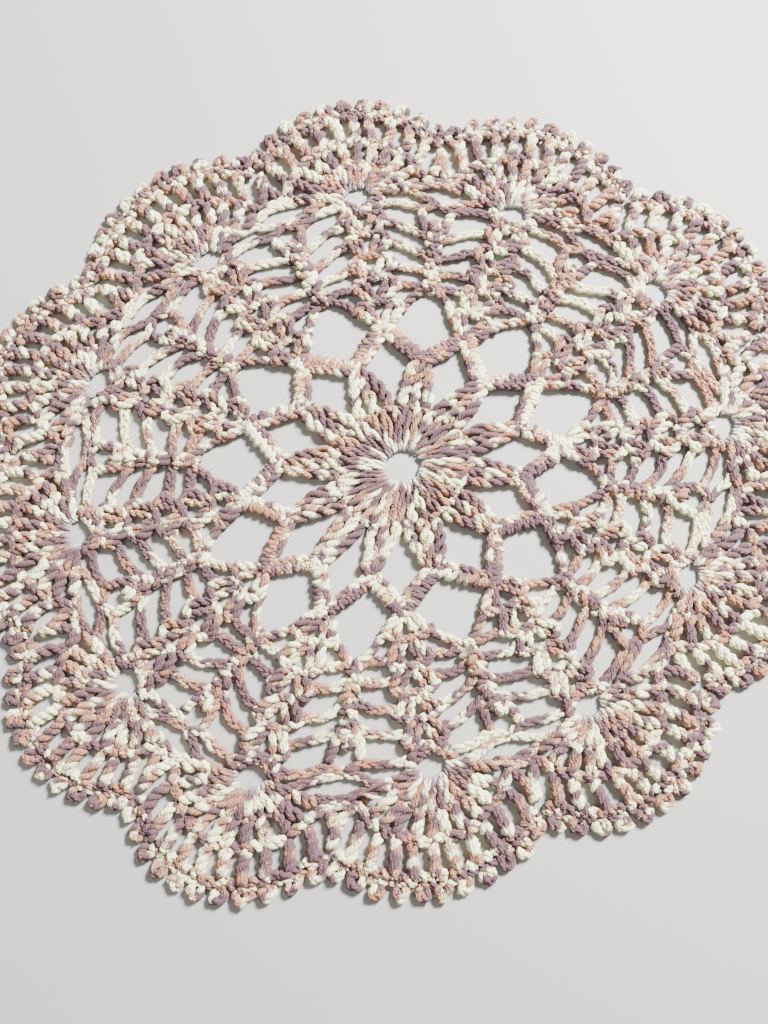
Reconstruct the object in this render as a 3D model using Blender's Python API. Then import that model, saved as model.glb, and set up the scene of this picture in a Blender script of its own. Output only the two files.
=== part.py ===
"""Round crocheted lace doily, lying flat.

One openwork sheet of thick cotton: a small hole in the middle, twelve petals
joined by a zigzag of arches, twelve spokes of shell stitches with chain ribs on
both sides, and twelve fans with a picot edge. The work is uneven, as hand work
is, so every sector is drawn once in an even layout and then placed by a table
that gives the turn and the reach of each spoke.

Units are metres, +Z is up, the underside lies on Z = 0, and the middle of the
sheet's box is the origin. In the even layout a point is given as (across, along):
along is the distance from the centre hole on a spoke, across is to its right.
"""
import math

import bmesh
import bpy

# Overall layout
SPOKES = 12
STEP = 360.0 / SPOKES
FIRST_SPOKE = 90.0
EYELET_REACH = 0.185
FOOT_REACH = 0.060

# One row for each spoke, counter-clockwise from the far side
# (turn of the spoke's foot in degrees, turn of its eyelet, reach of its eyelet)
SPOKE_TABLE = [
    (7.3, 9.0, 0.1778),
    (13.6, 12.4, 0.1788),
    (14.3, 14.1, 0.1915),
    (12.6, 11.8, 0.1939),
    (6.9, 8.7, 0.2004),
    (1.6, 4.4, 0.1959),
    (-2.3, 5.2, 0.1711),
    (7.0, 6.9, 0.1726),
    (10.8, 8.3, 0.1778),
    (6.9, 7.3, 0.1944),
    (2.1, 5.3, 0.1927),
    (3.3, 6.6, 0.1776),
]
FOOT_TURN, EYELET_TURN, REACH = 0, 1, 2

# Thickness of the work, by the stitches that lie there
CENTRE_THICK = 0.0040
ARCH_THICK = 0.0042
SPOKE_THICK = 0.0036
RIB_THICK = 0.0028
TIE_THICK = 0.0030
FAN_THICK = 0.0034
RIM_THICK = 0.0038

# Centre hole and fan eyelet
CENTRE_HOLE_RADIUS = 0.0107
CENTRE_HOLE_POINTS = 12
EYELET_HALF_WIDTH = 0.0072
EYELET_HALF_LENGTH = 0.0060
EYELET_POINTS = 8

# Round opening between two spokes
ROUND_MIDDLE = 0.0945
ROUND_HALF_WIDTH = 0.0160
ROUND_HALF_LENGTH = 0.0172
ROUND_POINTS = 10

# Kite between two petals: right half, from its point at the centre outwards
KITE = [
    (0.0000, 0.0420),
    (0.0045, 0.0510),
    (0.0112, 0.0610),
    (0.0100, 0.0710),
    (0.0055, 0.0800),
    (0.0000, 0.0855),
]

# Chain ribs, each from a shell of the spoke to the spine between two spokes
# (reach at the spoke, reach at the spine)
RIBS = [
    (0.1160, 0.1205),
    (0.1300, 0.1290),
    (0.1500, 0.1395),
    (0.1650, 0.1525),
]
RIB_HALF_WIDTH = 0.0026
RIB_BOW = 0.0022
RIB_GAP_START = 4.9
RIB_GAP_END = 12.7
SPINE_TURN = STEP / 2

# Openings between two fans, on the line midway between two spokes
SIDE_LENS = [
    (0.0052, 0.1570),
    (0.0115, 0.1700),
    (0.0180, 0.1742),
    (0.0330, 0.1735),
    (0.0345, 0.1685),
    (0.0200, 0.1632),
]
CRESCENT = [
    (-0.0068, 0.1708),
    (0.0000, 0.1716),
    (0.0068, 0.1708),
    (0.0060, 0.1762),
    (-0.0060, 0.1762),
]
LEFT_LENS = [
    (-0.0320, 0.1775),
    (-0.0200, 0.1785),
    (-0.0112, 0.1800),
    (-0.0135, 0.1832),
    (-0.0210, 0.1850),
    (-0.0300, 0.1825),
]
MIDDLE_LENS = [
    (-0.0070, 0.1838),
    (0.0000, 0.1822),
    (0.0065, 0.1830),
    (0.0115, 0.1868),
    (0.0040, 0.1898),
    (-0.0045, 0.1892),
]
NOTCH_GAP = [
    (-0.0046, 0.1975),
    (0.0040, 0.1975),
    (0.0042, 0.2080),
    (0.0000, 0.2150),
    (-0.0046, 0.2085),
]

# Fan: long posts stand in its outer ring, and picots run round its rim
OUTER_RING_START = 0.0375
OUTER_RING_END = 0.0545
OUTER_RING_START_STEP = 14.6
OUTER_RING_END_STEP = 12.1
OUTER_RING_FLARE = 0.0040
POST_HALF_WIDTH = 0.0024
CUT_RING_GAPS = 9
PICOTS = 11
PICOT_STEP = 10.9
PICOT_TOP = 0.0702
PICOT_SHOULDER = 0.0682
PICOT_FOOT = 0.0645
# (turn from the picot's middle in degrees, distance from the eyelet)
PICOT_PROFILE = [
    (-5.2, PICOT_FOOT),
    (-3.6, PICOT_SHOULDER),
    (-1.2, PICOT_TOP),
    (1.2, PICOT_TOP),
    (3.6, PICOT_SHOULDER),
]
NOTCH_REACH = 0.2245


def between_spokes(column, spoke):
    """Smooth value of a table column at a spoke number that need not be whole."""
    whole = math.floor(spoke)
    part = spoke - whole
    a, b, c, d = (SPOKE_TABLE[(whole + i) % SPOKES][column] for i in (-1, 0, 1, 2))
    slope = c - a
    bend = 2 * a - 5 * b + 4 * c - d
    twist = 3 * b - a - 3 * c + d
    return b + 0.5 * part * (slope + part * (bend + part * twist))


def place(spoke, across, along):
    """Real place of a point of the even layout, before centring."""
    reach = math.hypot(across, along)
    spoke_here = spoke - math.degrees(math.atan2(across, along)) / STEP
    outward = (reach - FOOT_REACH) / (EYELET_REACH - FOOT_REACH)
    outward = min(max(outward, 0.0), 1.0)
    foot_turn = between_spokes(FOOT_TURN, spoke_here)
    eyelet_turn = between_spokes(EYELET_TURN, spoke_here)
    turn = foot_turn + (eyelet_turn - foot_turn) * outward
    eyelet = between_spokes(REACH, spoke_here)
    if reach <= EYELET_REACH:
        radius = reach * eyelet / EYELET_REACH
    else:
        radius = reach - EYELET_REACH + eyelet
    angle = math.radians(FIRST_SPOKE + STEP * spoke_here + turn)
    return radius * math.cos(angle), radius * math.sin(angle)


def loop(spoke, points, thick):
    """A closed outline as (x, y, thickness) corners."""
    return [place(spoke, across, along) + (thick,) for across, along in points]


def ellipse(middle, half_width, half_length, count):
    """Corners of an ellipse that lies on the spoke's line."""
    points = []
    for i in range(count):
        angle = 2 * math.pi * (i + 0.5) / count
        points.append((half_width * math.sin(angle), middle + half_length * math.cos(angle)))
    return points


def mirrored(points):
    """The same outline on the other side of the line."""
    return [(-across, along) for across, along in points]


def polar(turn, reach):
    """A layout point given by its turn from the line and its reach."""
    angle = math.radians(turn)
    return reach * math.sin(angle), reach * math.cos(angle)


def about_eyelet(turn, distance):
    """A layout point given by its turn and distance from the eyelet."""
    across, along = polar(turn, distance)
    return across, EYELET_REACH + along


def rib_reach(rib, turn):
    """Reach of a rib's middle line at a turn from the spoke."""
    at_spoke, at_spine = rib
    part = turn / SPINE_TURN
    return at_spoke + (at_spine - at_spoke) * part + RIB_BOW * math.sin(math.pi * part)


def rib_gaps():
    """Gaps between neighbouring ribs, right of the spoke."""
    gaps = []
    middle = 0.5 * (RIB_GAP_START + RIB_GAP_END)
    turns = (RIB_GAP_START, middle, RIB_GAP_END)
    for inner, outer in zip(RIBS, RIBS[1:]):
        low = [polar(t, rib_reach(inner, t) + RIB_HALF_WIDTH) for t in turns]
        high = [polar(t, rib_reach(outer, t) - RIB_HALF_WIDTH) for t in turns]
        gaps.append(low + high[::-1])
    return gaps


def flare(turn):
    """How much further out the outer ring lies towards the fan's sides."""
    return OUTER_RING_FLARE * (turn / 60.0) ** 2


def outer_ring_gaps():
    """Gaps between the long posts of a fan's outer ring."""
    gaps = []
    for i in range(CUT_RING_GAPS):
        place_in_ring = i - (CUT_RING_GAPS - 1) / 2
        start_turn = place_in_ring * OUTER_RING_START_STEP
        end_turn = place_in_ring * OUTER_RING_END_STEP
        start = OUTER_RING_START + flare(start_turn)
        end = OUTER_RING_END + flare(end_turn)
        start_half = OUTER_RING_START_STEP / 2 - math.degrees(POST_HALF_WIDTH / start)
        end_half = OUTER_RING_END_STEP / 2 - math.degrees(POST_HALF_WIDTH / end)
        gaps.append([
            about_eyelet(start_turn - start_half, start),
            about_eyelet(start_turn + start_half, start),
            about_eyelet(end_turn + end_half, end),
            about_eyelet(end_turn - end_half, end),
        ])
    return gaps


def rim():
    """The scalloped edge, clockwise from the first spoke, with a notch between fans."""
    edge = []
    for fan in range(SPOKES):
        spoke = -fan
        points = []
        for i in range(PICOTS):
            middle = (i - (PICOTS - 1) / 2) * PICOT_STEP
            points += [about_eyelet(middle + turn, dist) for turn, dist in PICOT_PROFILE]
        edge += loop(spoke, points, RIM_THICK)
        edge += loop(spoke - 0.5, [(0.0, NOTCH_REACH)], RIM_THICK)
    return edge


def sector_gaps(spoke):
    """All openings of one spoke, its fan, and the boundary to its left."""
    kite = KITE + mirrored(KITE[-2:0:-1])
    round_hole = ellipse(ROUND_MIDDLE, ROUND_HALF_WIDTH, ROUND_HALF_LENGTH, ROUND_POINTS)
    eyelet = ellipse(EYELET_REACH, EYELET_HALF_WIDTH, EYELET_HALF_LENGTH, EYELET_POINTS)
    gaps = [loop(spoke, kite, ARCH_THICK), loop(spoke, eyelet, FAN_THICK)]
    for gap in rib_gaps():
        gaps.append(loop(spoke, gap, RIB_THICK))
        gaps.append(loop(spoke, mirrored(gap), RIB_THICK))
    for gap in outer_ring_gaps():
        gaps.append(loop(spoke, gap, FAN_THICK))
    boundary = spoke + 0.5
    gaps.append(loop(boundary, round_hole, SPOKE_THICK))
    gaps.append(loop(boundary, SIDE_LENS, TIE_THICK))
    gaps.append(loop(boundary, mirrored(SIDE_LENS), TIE_THICK))
    for opening in (CRESCENT, LEFT_LENS, MIDDLE_LENS, NOTCH_GAP):
        gaps.append(loop(boundary, opening, TIE_THICK))
    return gaps


def centre_hole():
    """The hole in the middle of the doily."""
    corners = ellipse(0.0, CENTRE_HOLE_RADIUS, CENTRE_HOLE_RADIUS, CENTRE_HOLE_POINTS)
    return [(x, y, CENTRE_THICK) for x, y in corners]


def all_outlines():
    """Rim first, then every gap, with the rim's box centred on the origin."""
    outlines = [rim(), centre_hole()]
    for spoke in range(SPOKES):
        outlines += sector_gaps(spoke)
    xs = [corner[0] for corner in outlines[0]]
    ys = [corner[1] for corner in outlines[0]]
    middle_x = 0.5 * (min(xs) + max(xs))
    middle_y = 0.5 * (min(ys) + max(ys))
    return [[(x - middle_x, y - middle_y, t) for x, y, t in line] for line in outlines]


def cotton_material():
    """Matt cotton in cream, salmon and mauve, given here as their mean."""
    material = bpy.data.materials.new("cotton")
    material.use_nodes = True
    shader = material.node_tree.nodes["Principled BSDF"]
    shader.inputs["Base Color"].default_value = (0.60, 0.44, 0.41, 1.0)
    shader.inputs["Roughness"].default_value = 0.9
    shader.inputs["Metallic"].default_value = 0.0
    return material


def make_doily():
    """Fill the outlines with faces, raise them to their thickness and close the walls."""
    mesh = bmesh.new()
    thickness = {}
    for outline in all_outlines():
        corners = []
        for x, y, thick in outline:
            corner = mesh.verts.new((x, y, 0.0))
            thickness[(corner.co.x, corner.co.y)] = thick
            corners.append(corner)
        for a, b in zip(corners, corners[1:] + corners[:1]):
            mesh.edges.new((a, b))
    bmesh.ops.triangle_fill(mesh, use_beauty=True, edges=mesh.edges[:], normal=(0, 0, -1))
    raised = bmesh.ops.extrude_face_region(mesh, geom=mesh.faces[:], use_keep_orig=True)
    for corner in raised["geom"]:
        if isinstance(corner, bmesh.types.BMVert):
            corner.co.z = thickness[(corner.co.x, corner.co.y)]
    bmesh.ops.recalc_face_normals(mesh, faces=mesh.faces[:])
    data = bpy.data.meshes.new("doily")
    mesh.to_mesh(data)
    mesh.free()
    data.materials.append(cotton_material())
    doily = bpy.data.objects.new("doily", data)
    bpy.context.scene.collection.objects.link(doily)
    return doily


def main():
    for old in list(bpy.data.objects):
        bpy.data.objects.remove(old, do_unlink=True)
    make_doily()


main()
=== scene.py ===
"""Round crocheted lace doily on a plain pale floor, built stitch by stitch from yarn.

Each stitch is a rope, a plait or a wrap of closed yarn tubes. It is drawn in the
same even layout as the flat sheet in the frame, and placed by the same table of
spokes. In the layout a point is (across, along, height): along is the distance
from the centre hole on a spoke, across is to its right. Units are metres.
"""
import math

import bpy
import numpy as np
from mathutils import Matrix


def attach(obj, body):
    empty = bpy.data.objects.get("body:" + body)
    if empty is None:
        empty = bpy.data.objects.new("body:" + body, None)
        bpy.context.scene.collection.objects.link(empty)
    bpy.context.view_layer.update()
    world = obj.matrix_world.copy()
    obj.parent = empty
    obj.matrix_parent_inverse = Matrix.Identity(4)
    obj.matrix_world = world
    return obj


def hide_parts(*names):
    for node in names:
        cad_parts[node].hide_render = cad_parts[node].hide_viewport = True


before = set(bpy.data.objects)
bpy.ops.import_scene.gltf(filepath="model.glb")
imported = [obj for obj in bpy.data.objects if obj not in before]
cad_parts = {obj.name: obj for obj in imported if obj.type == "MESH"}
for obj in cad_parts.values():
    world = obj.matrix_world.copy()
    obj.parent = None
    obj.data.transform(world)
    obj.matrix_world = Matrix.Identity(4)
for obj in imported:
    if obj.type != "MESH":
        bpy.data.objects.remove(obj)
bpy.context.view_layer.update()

# Overall layout, as in the frame's solid
SPOKES = 12
STEP = 360.0 / SPOKES
FIRST_SPOKE = 90.0
EYELET_REACH = 0.185
FOOT_REACH = 0.060
CENTRE_HOLE = (-0.001508, -0.001291)

# One row for each spoke, counter-clockwise from the far side
# (turn of the spoke's foot in degrees, turn of its eyelet, reach of its eyelet)
SPOKE_TABLE = np.array([
    (7.3, 9.0, 0.1778),
    (13.6, 12.4, 0.1788),
    (14.3, 14.1, 0.1915),
    (12.6, 11.8, 0.1939),
    (6.9, 8.7, 0.2004),
    (1.6, 4.4, 0.1959),
    (-2.3, 5.2, 0.1711),
    (7.0, 6.9, 0.1726),
    (10.8, 8.3, 0.1778),
    (6.9, 7.3, 0.1944),
    (2.1, 5.3, 0.1927),
    (3.3, 6.6, 0.1776),
])
FOOT_TURN, EYELET_TURN, REACH = 0, 1, 2

# Yarn: its radius in a post and in a chain, the mesh's fineness, and how stitches follow on
POST_YARN = 0.00185
CHAIN_YARN = 0.00150
SIDES = 7
SEGMENT = 0.00175
SLACK = 0.030
END_SHAPE = (0.5, 0.88)
STRAND_SHIFT = 0.018
FLOOR_GAP = 0.0001
CREASE_SOFT = 0.0003
MM = 0.001
# Share of its drawn height that each stitch keeps, as the lace lies pressed flat
HEIGHT_SHARE = 0.80

rng = np.random.default_rng(11)
ALL_SPOKES = np.arange(SPOKES, dtype=float)


def spline(a, b, c, d, part):
    """Smooth curve from b to c, with a before them and d after them."""
    slope = c - a
    bend = 2 * a - 5 * b + 4 * c - d
    twist = 3 * b - a - 3 * c + d
    return b + 0.5 * part * (slope + part * (bend + part * twist))


def between_spokes(column, spoke):
    """Smooth value of a table column at spoke numbers that need not be whole."""
    whole = np.floor(spoke).astype(int)
    part = spoke - whole
    return spline(*(SPOKE_TABLE[(whole + i) % SPOKES, column] for i in (-1, 0, 1, 2)), part)


def place(spoke, points):
    """Real places of layout points, one spoke number for each line of points."""
    across, along = points[..., 0], points[..., 1]
    reach = np.hypot(across, along)
    here = spoke[:, None] - np.degrees(np.arctan2(across, along)) / STEP
    outward = np.clip((reach - FOOT_REACH) / (EYELET_REACH - FOOT_REACH), 0.0, 1.0)
    foot_turn = between_spokes(FOOT_TURN, here)
    turn = foot_turn + (between_spokes(EYELET_TURN, here) - foot_turn) * outward
    eyelet = between_spokes(REACH, here)
    radius = np.where(reach <= EYELET_REACH, reach * eyelet / EYELET_REACH,
                      reach - EYELET_REACH + eyelet)
    angle = np.radians(FIRST_SPOKE + STEP * here + turn)
    return np.stack([
        CENTRE_HOLE[0] + radius * np.cos(angle),
        CENTRE_HOLE[1] + radius * np.sin(angle),
        points[..., 2],
    ], axis=-1)


def run_of(lines):
    """Distance along each line, at each of its points."""
    steps = np.linalg.norm(np.diff(lines, axis=1), axis=2)
    return np.concatenate([np.zeros((len(lines), 1)), np.cumsum(steps, axis=1)], axis=1)


def smooth(lines, count):
    """Smooth curves through each line's points, as count evenly spaced points."""
    lines = np.asarray(lines, dtype=float)
    first = 2 * lines[:, :1] - lines[:, 1:2]
    last = 2 * lines[:, -1:] - lines[:, -2:-1]
    knots = np.concatenate([first, lines, last], axis=1)
    fine = 8 * count
    at = np.linspace(0, lines.shape[1] - 1, fine)
    whole = np.minimum(at.astype(int), lines.shape[1] - 2)
    part = (at - whole)[None, :, None]
    curve = spline(*(knots[:, whole + i] for i in range(4)), part)
    run = run_of(curve)
    out = np.empty((len(lines), count, 3))
    for i in range(len(lines)):
        wanted = np.linspace(0, run[i, -1], count)
        for k in range(3):
            out[i, :, k] = np.interp(wanted, run[i], curve[i, :, k])
    return out


def length_of(lines):
    """Mean length of a batch of lines."""
    return float(np.linalg.norm(np.diff(lines, axis=1), axis=2).sum(axis=1).mean())


def tangents_of(lines):
    """Unit direction of each line, at each of its points."""
    tangent = np.gradient(lines, axis=1)
    return tangent / (np.linalg.norm(tangent, axis=2, keepdims=True) + 1e-12)


def axes_of(lines):
    """Unit tangent, sideways and upward axes along each line."""
    tangent = tangents_of(lines)
    side = np.cross(tangent, (0.0, 0.0, 1.0))
    side /= np.linalg.norm(side, axis=2, keepdims=True) + 1e-9
    return tangent, side, np.cross(side, tangent)


class Yarn:
    """Yarn tubes that are gathered, then made into one mesh object."""

    def __init__(self, name):
        self.name = name
        self.batches = []
        self.used = rng.uniform(0.0, 50.0)

    def lay(self, spoke, strands, cores, radius, group, pace, taper=(1.0, 1.0), pulled_highlight=0.0,
            slack=SLACK):
        """Add strands of the layout, in groups that make one stitch and share its colour.

        cores is the stitch's middle line, pace is how many metres of yarn a metre of
        the stitch takes up, taper is the strand's thickness at its two ends,
        pulled_highlight is how far from the start the strand is painted pale, partly as
        pale pulled yarn and partly as a painted highlight, and slack is the most yarn
        that is hidden between two stitches.
        """
        spoke = np.asarray(spoke, dtype=float)
        lines = place(spoke, strands)
        inward = place(spoke, cores) - lines
        inward /= np.linalg.norm(inward, axis=2, keepdims=True) + CREASE_SOFT
        count = lines.shape[1]
        shape = np.linspace(taper[0], taper[1], count)
        shape[[0, -1]] *= END_SHAPE[0]
        shape[[1, -2]] *= END_SHAPE[1]
        uneven = 1 + rng.normal(0, 0.05, (len(lines), 1)) + 0.07 * wander(len(lines), count, 5)
        thick = radius * shape * uneven
        lines[..., 2] = np.maximum(lines[..., 2] * HEIGHT_SHARE, thick + FLOOR_GAP)
        run = run_of(lines)
        # Pale start of each strand: partly pulled yarn, partly a painted highlight
        pulled = np.clip(1 - run / pulled_highlight, 0, 1) if pulled_highlight else np.zeros_like(run)
        stitches = len(lines) // group
        long = run[::group, -1] * pace
        gaps = rng.uniform(0, slack, stitches)
        begin = self.used + np.concatenate([[0], np.cumsum(long + gaps)[:-1]])
        self.used = begin[-1] + long[-1] + gaps[-1]
        begin = np.repeat(begin, group) + rng.uniform(0, STRAND_SHIFT, len(lines))
        self.batches.append((lines, inward, thick, run, run * pace + begin[:, None], pulled))

    def make(self, material):
        """Build the mesh, with UVs that give metres along each strand and turns round it.

        The attributes are dye, the place on the whole yarn in metres, pulled_highlight,
        the share of pale pulled yarn and painted highlight near a strand's start, and
        crease, which is 1 where a strand faces the middle of its stitch and sets the
        painted shade between strands.
        """
        points, quads, caps, uvs, cap_uvs, dyes, pale, creases = [], [], [], [], [], [], [], []
        start = 0
        for lines, inward, radius, run, dye, pulled in self.batches:
            strands, count = lines.shape[:2]
            rings = tube_rings(lines)
            points.append((lines[:, :, None] + radius[:, :, None, None] * rings).reshape(-1, 3))
            creases.append(np.clip((rings * inward[:, :, None]).sum(axis=3), 0, 1).ravel())
            dyes.append(np.repeat(dye.ravel(), SIDES))
            # Share of the painted highlight and pale pulled yarn at each vertex
            pale.append(np.repeat(pulled.ravel(), SIDES))
            first = start + (np.arange(strands) * count * SIDES)[:, None, None]
            along = (np.arange(count - 1) * SIDES)[None, :, None]
            around = np.arange(SIDES)[None, None, :]
            beside = (around + 1) % SIDES
            low, high = first + along, first + along + SIDES
            quads.append(np.stack([low + around, low + beside, high + beside,
                                   high + around], axis=-1).reshape(-1, 4))
            u = np.stack([run[:, :-1], run[:, :-1], run[:, 1:], run[:, 1:]], axis=-1)
            u = np.broadcast_to(u[:, :, None, :], (strands, count - 1, SIDES, 4))
            v = np.stack([around, around + 1, around + 1, around], axis=-1) / SIDES
            v = np.broadcast_to(v, u.shape)
            uvs.append(np.stack([u, v], axis=-1).reshape(-1, 2))
            tail = first[:, 0] + np.arange(SIDES)[None, ::-1]
            head = first[:, 0] + (count - 1) * SIDES + np.arange(SIDES)[None, :]
            caps.append(np.concatenate([tail, head]))
            ends = np.concatenate([run[:, 0], run[:, -1]])
            cap_uvs.append(np.stack([np.repeat(ends, SIDES),
                                     np.zeros(len(ends) * SIDES)], axis=-1))
            start += strands * count * SIDES
        points = np.concatenate(points)
        quads = np.concatenate(quads)
        caps = np.concatenate(caps)
        corners = np.concatenate([quads.ravel(), caps.ravel()])
        sizes = np.concatenate([np.full(len(quads), 4), np.full(len(caps), SIDES)])
        mesh = bpy.data.meshes.new(self.name)
        mesh.vertices.add(len(points))
        mesh.vertices.foreach_set("co", points.astype(np.float32).ravel())
        mesh.loops.add(len(corners))
        mesh.loops.foreach_set("vertex_index", corners.astype(np.int32))
        mesh.polygons.add(len(sizes))
        starts = np.concatenate([[0], np.cumsum(sizes)[:-1]])
        mesh.polygons.foreach_set("loop_start", starts.astype(np.int32))
        layer = mesh.uv_layers.new(name="yarn")
        layer.data.foreach_set("uv", np.concatenate(uvs + cap_uvs).astype(np.float32).ravel())
        # The pale start carries a painted highlight; crease sets the painted shade between strands
        for name, values in (("dye", dyes), ("pulled_highlight", pale), ("crease", creases)):
            attribute = mesh.attributes.new(name, "FLOAT", "POINT")
            attribute.data.foreach_set("value", np.concatenate(values).astype(np.float32))
        mesh.update(calc_edges=True)
        mesh.validate()
        mesh.shade_smooth()
        mesh.materials.append(material)
        piece = bpy.data.objects.new(self.name, mesh)
        bpy.context.scene.collection.objects.link(piece)
        return piece


def tube_rings(lines):
    """Unit rings round each strand, with frames carried along without twist."""
    count = lines.shape[1]
    tangent = tangents_of(lines)
    side = np.empty_like(lines)
    now = np.cross(tangent[:, 0], (0.0, 0.0, 1.0))
    now[np.linalg.norm(now, axis=1) < 1e-3] = (1.0, 0.0, 0.0)
    for i in range(count):
        now = now - (now * tangent[:, i]).sum(axis=1, keepdims=True) * tangent[:, i]
        now = now / (np.linalg.norm(now, axis=1, keepdims=True) + 1e-12)
        side[:, i] = now
    up = np.cross(side, tangent)
    angle = 2 * np.pi * np.arange(SIDES) / SIDES
    return side[:, :, None] * np.cos(angle)[:, None] + up[:, :, None] * np.sin(angle)[:, None]


def wander(rows, count, waves=3):
    """Smooth random values, of about -1 to 1, along each of some rows."""
    part = np.pi * np.linspace(0, 1, count)[None, :]
    total = np.zeros((rows, count))
    for wave in range(1, waves + 1):
        total += np.sin(wave * part + rng.uniform(0, 2 * np.pi, (rows, 1)))
    return total / math.sqrt(waves)


def rope(lines, turns, gap, flat=0.75, pinch=0.25, hand=-1.0, taper=(1.0, 1.0)):
    """Two strands twisted round each line; gap is each strand's distance from it."""
    lines = np.asarray(lines, dtype=float)
    count = max(6, int(round(length_of(lines) * 1.12 / SEGMENT)) + 1)
    middle = smooth(lines, count)
    _, side, up = axes_of(middle)
    part = np.linspace(0, 1, count)[None, :]
    phase = rng.uniform(0, 2 * np.pi, (len(lines), 1))
    narrow = 1 - pinch * (2 * part - 1) ** 6
    gap = gap * narrow * np.linspace(taper[0], taper[1], count) * (1 + 0.12 * wander(len(lines), count))
    twist = part * turns + 0.09 * wander(len(lines), count)
    out = []
    for half in (0.0, np.pi):
        angle = hand * 2 * np.pi * twist + phase + half
        out.append(middle + side * (gap * np.cos(angle))[..., None]
                   + up * (flat * gap * np.sin(angle))[..., None])
    return np.stack(out, axis=1).reshape(-1, count, 3), np.repeat(middle, len(out), axis=0)


def plait(lines, link, width, height):
    """Three strands plaited along each line, so that its face shows a row of Vs."""
    lines = np.asarray(lines, dtype=float)
    long = length_of(lines)
    count = max(8, int(round(long * 1.1 / SEGMENT)) + 1)
    middle = smooth(lines, count)
    _, side, up = axes_of(middle)
    cycles = max(1, round(long / link)) / 3.0
    part = np.linspace(0, 1, count)[None, :]
    phase = rng.uniform(0, 2 * np.pi, (len(lines), 1)) + 0.35 * wander(len(lines), count)
    wide = width * (1 + 0.20 * wander(len(lines), count, 5))
    out = []
    for i in range(3):
        angle = 2 * np.pi * (cycles * part + i / 3.0) + phase
        out.append(middle + side * (wide * np.sin(angle))[..., None]
                   + up * (height * np.sin(2 * angle))[..., None])
    return np.stack(out, axis=1).reshape(-1, count, 3), np.repeat(middle, len(out), axis=0)


def polar(turn, reach, height=0.0):
    """Layout point from a turn off the line, in degrees, and a reach in millimetres."""
    angle = math.radians(turn)
    return (reach * MM * math.sin(angle), reach * MM * math.cos(angle), height * MM)


def about_eyelet(turn, distance, height=0.0):
    """Layout point from its turn and distance from the fan's eyelet."""
    across, along, up = polar(turn, distance, height)
    return (across, EYELET_REACH + along, up)


def at(across, along, height=0.0):
    """Layout point from millimetres."""
    return (across * MM, along * MM, height * MM)


def flip(line):
    """The same line on the other side of the spoke."""
    return [(-across, along, height) for across, along, height in line]


def shaken(lines, amount=0.3):
    """Lines with each point moved a little, as hand work is uneven."""
    lines = np.asarray(lines, dtype=float)
    moved = rng.normal(0, amount * MM, lines.shape)
    moved[..., 2] *= 0.4
    return lines + moved


def repeat(lines, spokes=ALL_SPOKES):
    """The same lines on each spoke, with the spoke number of each."""
    count = len(lines)
    return np.repeat(spokes, count), np.tile(np.asarray(lines, dtype=float), (len(spokes), 1, 1))


def lay_ropes(yarn, lines, spokes=ALL_SPOKES, shake=0.35, radius=POST_YARN, gap=0.00170, pace=3.3,
              taper=(1.0, 1.0), pulled_highlight=0.0, **how):
    """Ropes on each spoke."""
    numbers, batch = repeat(lines, spokes)
    strands, cores = rope(shaken(batch, shake), gap=gap, taper=taper, **how)
    yarn.lay(np.repeat(numbers, 2), strands, cores, radius, 2, pace, taper, pulled_highlight)


def lay_plaits(yarn, lines, spokes=ALL_SPOKES, shake=0.35, radius=CHAIN_YARN, link=0.0060,
               width=0.00150, height=0.00085, pace=1.8):
    """Plaits on each spoke."""
    numbers, batch = repeat(lines, spokes)
    strands, cores = plait(shaken(batch, shake), link, width, height)
    yarn.lay(np.repeat(numbers, 3), strands, cores, radius, 3, pace)


def lay_strands(yarn, lines, spokes=ALL_SPOKES, shake=0.35, radius=POST_YARN, group=1, pace=1.6,
                slack=SLACK):
    """Single strands on each spoke."""
    numbers, batch = repeat(lines, spokes)
    batch = shaken(batch, shake)
    count = max(5, int(round(length_of(batch) / SEGMENT)) + 1)
    strands = smooth(batch, count)
    yarn.lay(numbers, strands, strands, radius, group, pace, slack=slack)


BOUNDARIES = ALL_SPOKES + 0.5
SIDES_OF_LINE = (-1, 1)


def make_centre(material):
    """Ring of tall stitches, petals and the zigzag of arches."""
    yarn = Yarn("centre")
    stitches = 36
    numbers = np.arange(stitches) * SPOKES / stitches
    line = [at(0, 9.9, 1.7), at(0, 13, 3.3), at(0, 22, 3.7), at(0, 30, 3.7), at(0, 38.5, 3.0)]
    lay_ropes(yarn, [line], numbers, turns=1.3, radius=0.00198, gap=0.00165, taper=(0.50, 1.0),
              pulled_highlight=0.004, pace=2.2)
    heads = [[at(side * 0.6, 37.0, 2.6), at(side * 3.6, 38.2, 3.6), at(side * 6.6, 37.0, 2.6)]
             for side in SIDES_OF_LINE]
    lay_ropes(yarn, heads, np.arange(stitches / 2) * SPOKES / (stitches / 2), turns=0.9, radius=0.0016,
              gap=0.0013)
    petals = []
    for side in (-1, 0, 1):
        petals.append([at(side * 6.6, 36.5, 2.6), at(side * 7.3, 44, 3.6), at(side * 6.0, 53, 3.8),
                       at(side * 4.2, 61, 3.8), at(side * 2.2, 69.5, 3.4)])
    lay_ropes(yarn, petals, BOUNDARIES, turns=2.3, radius=0.00200, gap=0.00185, shake=0.5)
    lay_arches(yarn)
    return yarn.make(material)


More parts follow.
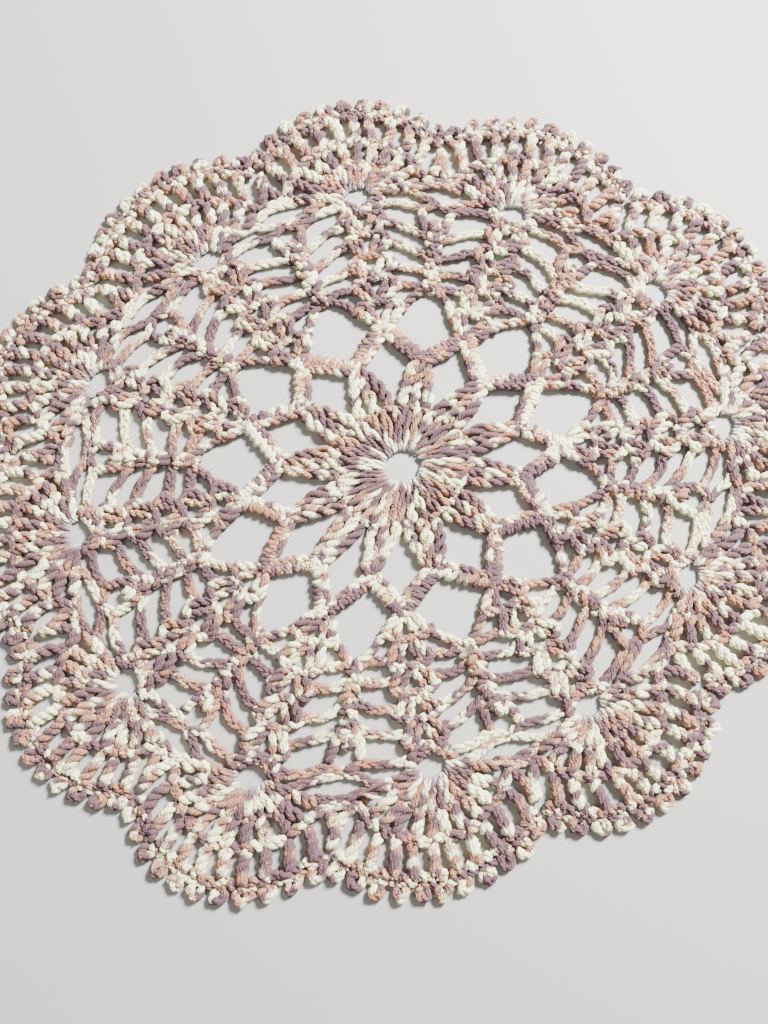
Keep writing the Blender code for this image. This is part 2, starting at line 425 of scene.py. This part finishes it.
def lay_arches(yarn):
    """Single crochet over a chain, from each petal's tip to the next arch's peak."""
    path = np.array([[at(17.9, 68.2), at(13.4, 74.3), at(9.0, 80.3), at(5.0, 86.3), at(0.8, 92.0)]])
    stitches = 7
    middle = smooth(path, stitches)[0]
    _, side, _ = axes_of(middle[None])
    out = -side[0]
    step = np.gradient(middle, axis=0)
    legs = []
    for point, way, ahead in zip(middle, out, step):
        for shift, lean in ((-0.20, 0.34), (0.26, -0.06)):
            start = point + ahead * shift
            foot = start - way * 0.0040 - ahead * lean + np.array(at(0, 0, 1.7))
            waist = start - way * 0.0033 - ahead * lean * 0.8 + np.array(at(0, 0, 3.8))
            chest = start - way * 0.0004 + np.array(at(0, 0, 4.6))
            neck = start + way * 0.0030 + ahead * lean + np.array(at(0, 0, 3.4))
            legs.append([foot, waist, chest, neck])
    edge = [point + way * 0.0030 + np.array(at(0, 0, 3.9)) for point, way in zip(middle, out)]
    for mirror in (False, True):
        lay_strands(yarn, [flip(leg) if mirror else leg for leg in legs], shake=0.45, group=2,
                    radius=0.0020, pace=0.9, slack=0.0)
        lay_ropes(yarn, [flip(edge) if mirror else edge], turns=3.0, radius=0.0018, gap=0.0013)


# Reach of the small hole in the middle of each shell, in millimetres
SHELL_HOLES = (89.5, 104.6, 121.2, 136.7, 152.6, 169.0)


def shell(hole, beyond):
    """Inner posts, outer posts, heads and bridge of the shell between two holes."""
    low = hole + 5.2
    inner, outer, heads = [], [], []
    for side in SIDES_OF_LINE:
        inner.append([at(side * 1.0, low - 0.4, 2.4), at(side * 2.1, low + 4.0, 3.4),
                      at(side * 4.6, beyond - 2.4, 3.8), at(side * 6.4, beyond + 2.2, 3.0)])
        outer.append([at(side * 2.8, low - 1.4, 2.6), at(side * 6.8, low + 2.2, 4.4),
                      at(side * 10.6, beyond - 2.8, 4.2), at(side * 12.0, beyond + 0.8, 2.8)])
        heads.append([at(side * 5.6, beyond + 3.8, 3.2), at(side * 8.8, beyond + 3.2, 4.4),
                      at(side * 12.4, beyond + 0.2, 3.4), at(side * 13.6, beyond - 3.4, 2.2)])
    bridge = [at(-4.8, beyond + 3.9, 3.0), at(0, beyond + 4.7, 3.8), at(4.8, beyond + 3.9, 3.0)]
    return inner, outer, heads, [bridge]


def make_spokes(material):
    """Shell stitches up each spoke, and the collar that holds the eyelet."""
    yarn = Yarn("spokes")
    inner, outer, heads, bridges = [], [], [], []
    for hole, beyond in zip(SHELL_HOLES[:-1], SHELL_HOLES[1:]):
        for gathered, parts in zip((inner, outer, heads, bridges), shell(hole, beyond)):
            gathered += parts
    lay_ropes(yarn, inner, turns=1.5, radius=0.00180, gap=0.00140, shake=0.4, taper=(0.75, 1.05))
    lay_ropes(yarn, outer, turns=1.5, radius=0.00190, gap=0.00160, shake=0.55, taper=(0.8, 1.05),
              pulled_highlight=0.003)
    lay_ropes(yarn, heads, turns=1.2, radius=0.00175, gap=0.00140, shake=0.4)
    lay_ropes(yarn, bridges, turns=1.6, radius=0.00170, gap=0.00130, shake=0.3)
    collar, cheeks = [], []
    for side in SIDES_OF_LINE:
        collar.append([at(side * 1.0, 170.8, 2.6), at(side * 2.8, 174.4, 3.8), at(side * 6.8, 177.0, 3.0)])
        collar.append([at(side * 4.8, 171.0, 2.6), at(side * 8.6, 175.0, 4.0), at(side * 11.8, 180.4, 3.0)])
        cheeks.append([at(side * 8.2, 180.9, 2.6), at(side * 11.6, 181.2, 3.6), at(side * 15.2, 182.4, 2.8)])
    lip = [at(-9.0, 182.4, 2.6), at(-6.2, 178.2, 3.4), at(0, 176.2, 3.6), at(6.2, 178.2, 3.4),
           at(9.0, 182.4, 2.6)]
    lay_ropes(yarn, collar, turns=1.3, radius=0.00195, gap=0.00165, shake=0.5)
    lay_ropes(yarn, cheeks, turns=1.0, radius=0.00185, gap=0.00155, shake=0.4)
    lay_ropes(yarn, [lip], turns=3.2, radius=0.00165, gap=0.00130)
    return yarn.make(material)


def make_spines(material):
    """Single crochet where the ribs of two spokes meet, and the bunched picot on top."""
    yarn = Yarn("spines")
    columns = [[at(side * 0.8, 116.0, 2.2), at(side * 1.9, 130.0, 2.4), at(side * 2.0, 146.0, 2.4),
                at(side * 1.6, 159.5, 2.4)] for side in SIDES_OF_LINE]
    lay_plaits(yarn, columns, BOUNDARIES, radius=0.00170, link=0.0066, width=0.00150, height=0.00100,
               pace=2.6)
    lumps = []
    for row in range(6):
        low = 118.0 + 6.8 * row
        lumps.append([at(1.6, low, 3.6), at(-1.0, low + 2.4, 5.2), at(-4.4, low + 5.6, 3.2)])
        lumps.append([at(-1.6, low + 3.4, 3.6), at(1.0, low + 5.8, 5.2), at(4.4, low + 9.0, 3.2)])
    lay_ropes(yarn, lumps, BOUNDARIES, turns=0.9, radius=0.00180, gap=0.00150, shake=0.6, pace=2.6)
    lay_balls(yarn)
    return yarn.make(material)


def lay_balls(yarn):
    """A small bunched picot where each spine ends."""
    arcs = []
    for turn, reach, top in ((10, 4.8, 4.2), (70, 4.6, 5.2), (130, 4.6, 6.0)):
        across, along = reach * math.cos(math.radians(turn)), reach * math.sin(math.radians(turn))
        arcs.append([at(-1.0 - across, 162.8 - along, 2.2), at(-1.0, 162.8, top),
                     at(-1.0 + across, 162.8 + along, 2.2)])
    lay_ropes(yarn, arcs, BOUNDARIES, shake=0.5, turns=0.9, radius=0.0019, gap=0.0015, pinch=0.1)


def rib(at_spoke, at_spine, bow, height=2.5):
    """A rib's line from the spoke to the spine, bowed outwards by bow millimetres."""
    line = []
    for turn in (3.4, 6.5, 10.0, 14.2):
        part = turn / 15.0
        reach = at_spoke + (at_spine - at_spoke) * part + bow * math.sin(math.pi * part)
        line.append(polar(turn, reach, height))
    return line


def make_ribs(material):
    """Chain ribs and braces between the spokes and the spines."""
    yarn = Yarn("ribs")
    brace = [at(2.4, 92.5, 2.8), polar(6, 103.6, 2.8), polar(10.4, 113.2, 2.8), polar(14.4, 120.5, 2.8)]
    lay_ropes(yarn, [brace, flip(brace)], turns=3.4, gap=0.0015, radius=0.0017, shake=0.5)
    ribs = [rib(116, 120.5, 2.6), rib(130, 129, 3.6), rib(150, 139.5, 4.2), rib(165, 152.5, 4.0)]
    lay_plaits(yarn, ribs + [flip(line) for line in ribs], shake=0.8, width=0.00165)
    return yarn.make(material)


def make_ties(material):
    """Chains and loops that tie two neighbouring fans to the spine between them."""
    yarn = Yarn("ties")
    legs = [[at(-2.2, 154.0, 2.6), at(-7.0, 164, 2.9), at(-8.8, 175.0, 2.8)],
            [at(2.2, 154.0, 2.6), at(5.6, 163, 2.9), at(9.2, 174.8, 2.8)]]
    lay_ropes(yarn, legs, BOUNDARIES, turns=2.6, gap=0.0017, radius=0.0019, shake=0.5)
    row_one = [at(0, 179, 2.8), at(9, 175.4, 2.6), at(20, 177.3, 2.4), at(30, 177.0, 2.4),
               at(37, 174.5, 2.4)]
    row_two_right = [at(0, 179.8, 2.4), at(11, 180.8, 2.4), at(21, 183.0, 2.4), at(29, 184.8, 2.4)]
    row_two_left = [at(0, 179.8, 2.4), at(-9, 183.2, 2.4), at(-17, 187.2, 2.4), at(-29, 185.5, 2.4)]
    row_three = [at(-14, 190.0, 2.4), at(-5, 192.8, 2.6), at(5, 193.0, 2.6), at(14, 190.2, 2.4)]
    row_four = [at(-11, 197.2, 2.4), at(-3, 196.0, 2.6), at(4, 196.0, 2.6), at(11, 197.2, 2.4)]
    lay_plaits(yarn, [row_one, flip(row_one)], BOUNDARIES)
    lay_plaits(yarn, [row_two_right, row_two_left], BOUNDARIES)
    lay_plaits(yarn, [row_three, row_four], BOUNDARIES)
    lay_faults(yarn)
    return yarn.make(material)


def lay_faults(yarn):
    """A loop pulled loose between two fans, and the yarn's end that peeps out at the far side."""
    upper = [at(-8.7, 192.3, 4.4), at(-11.6, 190.5, 7.2), at(-16.4, 187.9, 8.0), at(-22.7, 186.4, 6.6)]
    lower = [at(-8.7, 192.8, 4.4), at(-11.7, 191.3, 7.4), at(-16.3, 193.1, 8.0), at(-21.3, 194.1, 6.6)]
    lay_strands(yarn, [upper, lower], [5.5], shake=0.0, radius=0.0011)
    end = [at(-9.0, 195.6, 5.6), at(-6.0, 196.1, 6.6), at(-2.6, 196.3, 6.4)]
    lay_strands(yarn, [end], [0.5], shake=0.0, radius=0.0010)


# Fan: counts, turns in degrees, and distances of its rows from the eyelet in millimetres
POSTS = 12
FIRST_HEADS = 23.4
SECOND_HEADS = 39.2
EDGE_ROW = 57.0
OUTER_EDGE_ROW = 60.4
EDGE_TURN = 61.5
EDGE_STITCHES = 24
PICOTS = 11
PICOT_STEP = 10.9
PICOT_REACH = 64.1
# Half width, half length and height of a picot's loop, in metres
PICOT_LOOP = (0.0028, 0.0033, 0.0030)
POST_TURNS = np.arange(POSTS) - (POSTS - 1) / 2
# Turn of the outer posts' far ends, in degrees, for the lean that the work has
POST_LEAN = -3.0


def flare(turn):
    """How much further out the fan's outer rows lie towards its sides, in millimetres."""
    return 4.0 * (turn / 60.0) ** 2


def row_links(turns, distance, flared, sag, height):
    """Short lines from post to post of a fan's row, each bent by sag towards the eyelet."""
    out = []
    for first, last in zip(turns[:-1], turns[1:]):
        ends = [about_eyelet(turn, distance + flared * flare(turn), height) for turn in (first, last)]
        middle = 0.5 * (first + last)
        rest = about_eyelet(middle, distance + flared * flare(middle) - sag, height)
        out.append([ends[0], rest, ends[1]])
    return out


def lay_fan_rings(yarn):
    """The two inner rings of each fan, and the rows of heads that close them."""
    first, second = [], []
    for turn in POST_TURNS:
        rim_turn = math.radians(turn * 15.7)
        start = at(7.9 * math.sin(rim_turn), 184.0 + 6.7 * math.cos(rim_turn), 1.9)
        first.append([start, about_eyelet(turn * 15.6, 10.5, 3.4), about_eyelet(turn * 15.4, 16, 3.8),
                      about_eyelet(turn * 15.2, 23.6, 3.4)])
        second.append([about_eyelet(turn * 15.3, 22.0, 2.6), about_eyelet(turn * 15.2, 30.5, 3.8),
                       about_eyelet(turn * 14.9, 39.4, 3.6)])
    lay_ropes(yarn, first, turns=1.3, radius=0.00198, gap=0.00155, taper=(0.60, 1.0), pulled_highlight=0.004,
              pace=2.6)
    lay_ropes(yarn, second, turns=1.5, radius=0.00205, gap=0.00185, shake=0.8)
    lay_ropes(yarn, row_links(POST_TURNS * 15.2, FIRST_HEADS, 0.0, 0.6, 2.4), turns=0.8, radius=0.0017,
              gap=0.0013, shake=0.4)
    lay_ropes(yarn, row_links(POST_TURNS * 14.7, SECOND_HEADS, 0.6, 0.9, 3.0), turns=1.0,
              radius=0.00205, gap=0.00180, shake=0.6)


def lay_fan_posts(yarn):
    """The long posts of each fan's outer ring."""
    posts = []
    for turn in POST_TURNS:
        low, high = turn * 14.6, turn * 12.1
        high += POST_LEAN * (1 - (high / 75.0) ** 2)
        half = 0.5 * (low + high)
        posts.append([about_eyelet(low, 38.6 + flare(low), 2.8), about_eyelet(half, 47.6 + flare(half), 3.8),
                      about_eyelet(high, 57.2 + flare(high), 3.6)])
    lay_ropes(yarn, posts, turns=2.1, radius=0.00196, gap=0.00182, shake=0.85, taper=(1.0, 1.12))


def make_fans(material):
    """The three rings of posts round each eyelet."""
    yarn = Yarn("fans")
    lay_fan_rings(yarn)
    lay_fan_posts(yarn)
    return yarn.make(material)


def make_rim(material):
    """Single crochet round the fans, and the picots."""
    yarn = Yarn("rim")
    ends = np.linspace(-EDGE_TURN, EDGE_TURN, EDGE_STITCHES)
    lay_ropes(yarn, row_links(ends, EDGE_ROW, 1.0, 0.3, 3.2), turns=0.8, radius=0.00190, gap=0.0016,
              shake=0.6)
    lay_ropes(yarn, row_links(ends, OUTER_EDGE_ROW, 1.0, -0.3, 2.4), turns=0.8, radius=0.0015,
              gap=0.0011, shake=0.4)
    picots = []
    wide, long, height = PICOT_LOOP
    for i in range(PICOTS):
        turn = (i - (PICOTS - 1) / 2) * PICOT_STEP
        across, along, _ = about_eyelet(turn, PICOT_REACH + flare(turn))
        loop = []
        for angle in np.radians(np.linspace(-150, 150, 9) + turn):
            loop.append((across + wide * math.sin(angle), along + long * math.cos(angle), height))
        picots.append(loop)
    lay_ropes(yarn, picots, shake=0.7, turns=1.6, radius=0.00182, gap=0.00120)
    return yarn.make(material)


# Dyes of the yarn: where each starts on a scale from 0 to 1, and its colour
DYES = (
    (0.0, (0.128, 0.068, 0.076, 1)),
    (0.43, (0.370, 0.176, 0.108, 1)),
    (0.66, (0.585, 0.358, 0.222, 1)),
    (0.73, (0.950, 0.920, 0.565, 1)),
)
# Bluish white painted at strand starts: a painted highlight, with the pale look of pulled yarn
PULLED_HIGHLIGHT_COLOUR = (0.92, 0.90, 0.92, 1)
# Length of a colour run, how far its ends wander, and where in a run the change starts
RUN_LENGTH = 0.020
RUN_WANDER = 0.022
CHANGE_START = 0.66
# Fineness of the fibres and of the wander, the specks' strength, and the plies' relief
FIBRE_SCALE = 900.0
WANDER_SCALE = 700.0
SPECKS = 0.5
PLIES = 5
PLY_PITCH = 0.013
PLY_RELIEF = 0.22
RELIEF = 0.0007
# Light left at the lowest yarn, the height where it is full, and the shade between strands
LOWEST_LIGHT = 0.40
FULL_LIGHT_HEIGHT = 0.0038
CREASE_SHADE = 0.62


def yarn_material():
    """Matt plied cotton whose colour changes along its length."""
    material = bpy.data.materials.new("variegated_cotton")
    material.use_nodes = True
    nodes, links = material.node_tree.nodes, material.node_tree.links
    shader = nodes["Principled BSDF"]
    shader.inputs["Roughness"].default_value = 0.88
    shader.inputs["Sheen Weight"].default_value = 0.12
    shader.inputs["Sheen Roughness"].default_value = 0.5
    shader.inputs["Specular IOR Level"].default_value = 0.18

    def math_node(operation, first, second=None):
        node = nodes.new("ShaderNodeMath")
        node.operation = operation
        for socket, value in zip(node.inputs, (first, second)):
            if value is None:
                continue
            if isinstance(value, (int, float)):
                socket.default_value = value
            else:
                links.new(value, socket)
        return node.outputs[0]

    uv = nodes.new("ShaderNodeUVMap")
    uv.uv_map = "yarn"
    split = nodes.new("ShaderNodeSeparateXYZ")
    links.new(uv.outputs["UV"], split.inputs[0])
    run, turn = split.outputs["X"], split.outputs["Y"]
    dyed = nodes.new("ShaderNodeAttribute")
    dyed.attribute_name = "dye"

    # Fine fibres, used for the specks, the tint and the relief
    place_on = nodes.new("ShaderNodeTexCoord")
    fibres = nodes.new("ShaderNodeTexNoise")
    fibres.inputs["Scale"].default_value = FIBRE_SCALE
    fibres.inputs["Detail"].default_value = 4.0
    links.new(place_on.outputs["Object"], fibres.inputs["Vector"])
    specks = math_node("MULTIPLY", math_node("SUBTRACT", fibres.outputs["Fac"], 0.5), SPECKS)

    # Colour runs of about 20 mm of yarn, each drawn from four dyes, with soft changes
    wobble = nodes.new("ShaderNodeTexNoise")
    wobble.inputs["Scale"].default_value = WANDER_SCALE
    wobble.inputs["Detail"].default_value = 4.0
    wobble.inputs["Roughness"].default_value = 0.7
    shift = math_node("MULTIPLY", wobble.outputs["Fac"], RUN_WANDER)
    cell = math_node("DIVIDE", math_node("ADD", dyed.outputs["Fac"], shift), RUN_LENGTH)
    whole = math_node("FLOOR", cell)
    part = math_node("FRACT", cell)

    def dye(index):
        white = nodes.new("ShaderNodeTexWhiteNoise")
        white.noise_dimensions = "1D"
        links.new(index, white.inputs["W"])
        ramp = nodes.new("ShaderNodeValToRGB")
        ramp.color_ramp.interpolation = "CONSTANT"
        stops = ramp.color_ramp.elements
        stops.remove(stops[1])
        stops[0].color = DYES[0][1]
        for start, tone in DYES[1:]:
            stops.new(start).color = tone
        links.new(math_node("ADD", white.outputs["Value"], specks), ramp.inputs[0])
        return ramp.outputs["Color"]

    change = nodes.new("ShaderNodeMapRange")
    change.interpolation_type = "SMOOTHSTEP"
    change.inputs["From Min"].default_value = CHANGE_START
    links.new(part, change.inputs["Value"])
    colour = nodes.new("ShaderNodeMix")
    colour.data_type = "RGBA"
    links.new(change.outputs[0], colour.inputs["Factor"])
    links.new(dye(whole), colour.inputs["A"])
    links.new(dye(math_node("ADD", whole, 1.0)), colour.inputs["B"])

    # Uneven dye, painted shade low down and between the strands, and a painted highlight near strand starts
    tint = nodes.new("ShaderNodeMapRange")
    tint.inputs["From Min"].default_value = 0.3
    tint.inputs["From Max"].default_value = 0.7
    tint.inputs["To Min"].default_value = 0.74
    tint.inputs["To Max"].default_value = 1.14
    links.new(fibres.outputs["Fac"], tint.inputs["Value"])
    depth = nodes.new("ShaderNodeMapRange")
    depth.inputs["From Min"].default_value = 0.0
    depth.inputs["From Max"].default_value = FULL_LIGHT_HEIGHT
    depth.inputs["To Min"].default_value = LOWEST_LIGHT
    split_place = nodes.new("ShaderNodeSeparateXYZ")
    links.new(place_on.outputs["Object"], split_place.inputs[0])
    links.new(split_place.outputs["Z"], depth.inputs["Value"])
    shade = nodes.new("ShaderNodeMix")
    shade.data_type = "RGBA"
    shade.blend_type = "MULTIPLY"
    shade.inputs["Factor"].default_value = 1.0
    # Painted highlight: bluish white mixed in near each strand's start, partly the pale pulled yarn
    pulled_highlight = nodes.new("ShaderNodeAttribute")
    pulled_highlight.attribute_name = "pulled_highlight"
    pale = nodes.new("ShaderNodeMix")
    pale.data_type = "RGBA"
    pale.inputs["B"].default_value = PULLED_HIGHLIGHT_COLOUR
    links.new(math_node("MULTIPLY", pulled_highlight.outputs["Fac"], 0.5), pale.inputs["Factor"])
    links.new(colour.outputs["Result"], pale.inputs["A"])
    links.new(pale.outputs["Result"], shade.inputs["A"])
    crease = nodes.new("ShaderNodeAttribute")
    crease.attribute_name = "crease"
    open_air = math_node("SUBTRACT", 1.0, math_node("MULTIPLY", crease.outputs["Fac"], CREASE_SHADE))
    light = math_node("MULTIPLY", depth.outputs[0], open_air)
    links.new(math_node("MULTIPLY", tint.outputs[0], light), shade.inputs["B"])
    links.new(shade.outputs["Result"], shader.inputs["Base Color"])

    # Ply twist: five plies that wind round the yarn every 13 mm, under short fibres
    wind = math_node("SUBTRACT", math_node("DIVIDE", run, PLY_PITCH), turn)
    ply = math_node("SINE", math_node("MULTIPLY", wind, PLIES * 2 * math.pi))
    height = math_node("ADD", math_node("MULTIPLY", ply, PLY_RELIEF), fibres.outputs["Fac"])
    bump = nodes.new("ShaderNodeBump")
    bump.inputs["Strength"].default_value = 1.0
    bump.inputs["Distance"].default_value = RELIEF
    links.new(height, bump.inputs["Height"])
    links.new(bump.outputs["Normal"], shader.inputs["Normal"])
    return material


# Floor and light; each lamp has its name, place, size in metres and power in watts
FLOOR_SIZE = 6.0
FLOOR_COLOUR = (0.385, 0.374, 0.357, 1)
ROOM_COLOUR = (1.0, 0.98, 0.95, 1)
ROOM_STRENGTH = 0.34
LAMPS = (
    ("key", (0.9, 0.9, 1.1), 0.4, 214.0),
    ("fill", (-1.1, -0.5, 1.3), 1.2, 8.0),
)
# Camera: a phone lens of 769 pixels on a side of 1024, its place beside the centre hole, and its tip
LENS_PIXELS = 769.0
PHOTO_SIDE = 1024.0
SENSOR = 36.0
CAMERA_OFFSET = (-0.0113, -0.1092)
CAMERA_HEIGHT = 0.4461
CAMERA_TIP = 10.4


def floor_material():
    """Pale matt floor."""
    material = bpy.data.materials.new("pale_floor")
    material.use_nodes = True
    shader = material.node_tree.nodes["Principled BSDF"]
    shader.inputs["Base Color"].default_value = FLOOR_COLOUR
    shader.inputs["Roughness"].default_value = 0.7
    return material


def make_stage():
    """Floor, soft lights and the camera."""
    bpy.ops.mesh.primitive_plane_add(size=FLOOR_SIZE, location=(0, 0, 0))
    floor = bpy.context.object
    floor.name = "floor"
    floor.data.materials.append(floor_material())

    world = bpy.data.worlds.new("soft_room")
    bpy.context.scene.world = world
    world.use_nodes = True
    world.node_tree.nodes["Background"].inputs["Color"].default_value = ROOM_COLOUR
    world.node_tree.nodes["Background"].inputs["Strength"].default_value = ROOM_STRENGTH

    for name, place_at, size, power in LAMPS:
        light = bpy.data.lights.new(name, "AREA")
        light.energy = power
        light.size = size
        lamp = bpy.data.objects.new(name, light)
        lamp.location = place_at
        away = lamp.location.copy()
        lamp.rotation_euler = away.to_track_quat("Z", "Y").to_euler()
        bpy.context.scene.collection.objects.link(lamp)

    data = bpy.data.cameras.new("camera")
    data.sensor_width = SENSOR
    data.lens = LENS_PIXELS / PHOTO_SIDE * data.sensor_width
    camera = bpy.data.objects.new("camera", data)
    camera.location = (CENTRE_HOLE[0] + CAMERA_OFFSET[0], CENTRE_HOLE[1] + CAMERA_OFFSET[1],
                       CAMERA_HEIGHT)
    camera.rotation_euler = (math.radians(CAMERA_TIP), 0.0, 0.0)
    bpy.context.scene.collection.objects.link(camera)
    bpy.context.scene.camera = camera


def main():
    make_stage()
    material = yarn_material()
    pieces = [
        make_centre(material),
        make_spokes(material),
        make_spines(material),
        make_ribs(material),
        make_ties(material),
        make_fans(material),
        make_rim(material),
    ]
    for piece in pieces:
        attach(piece, "root")
        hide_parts("doily")


main()
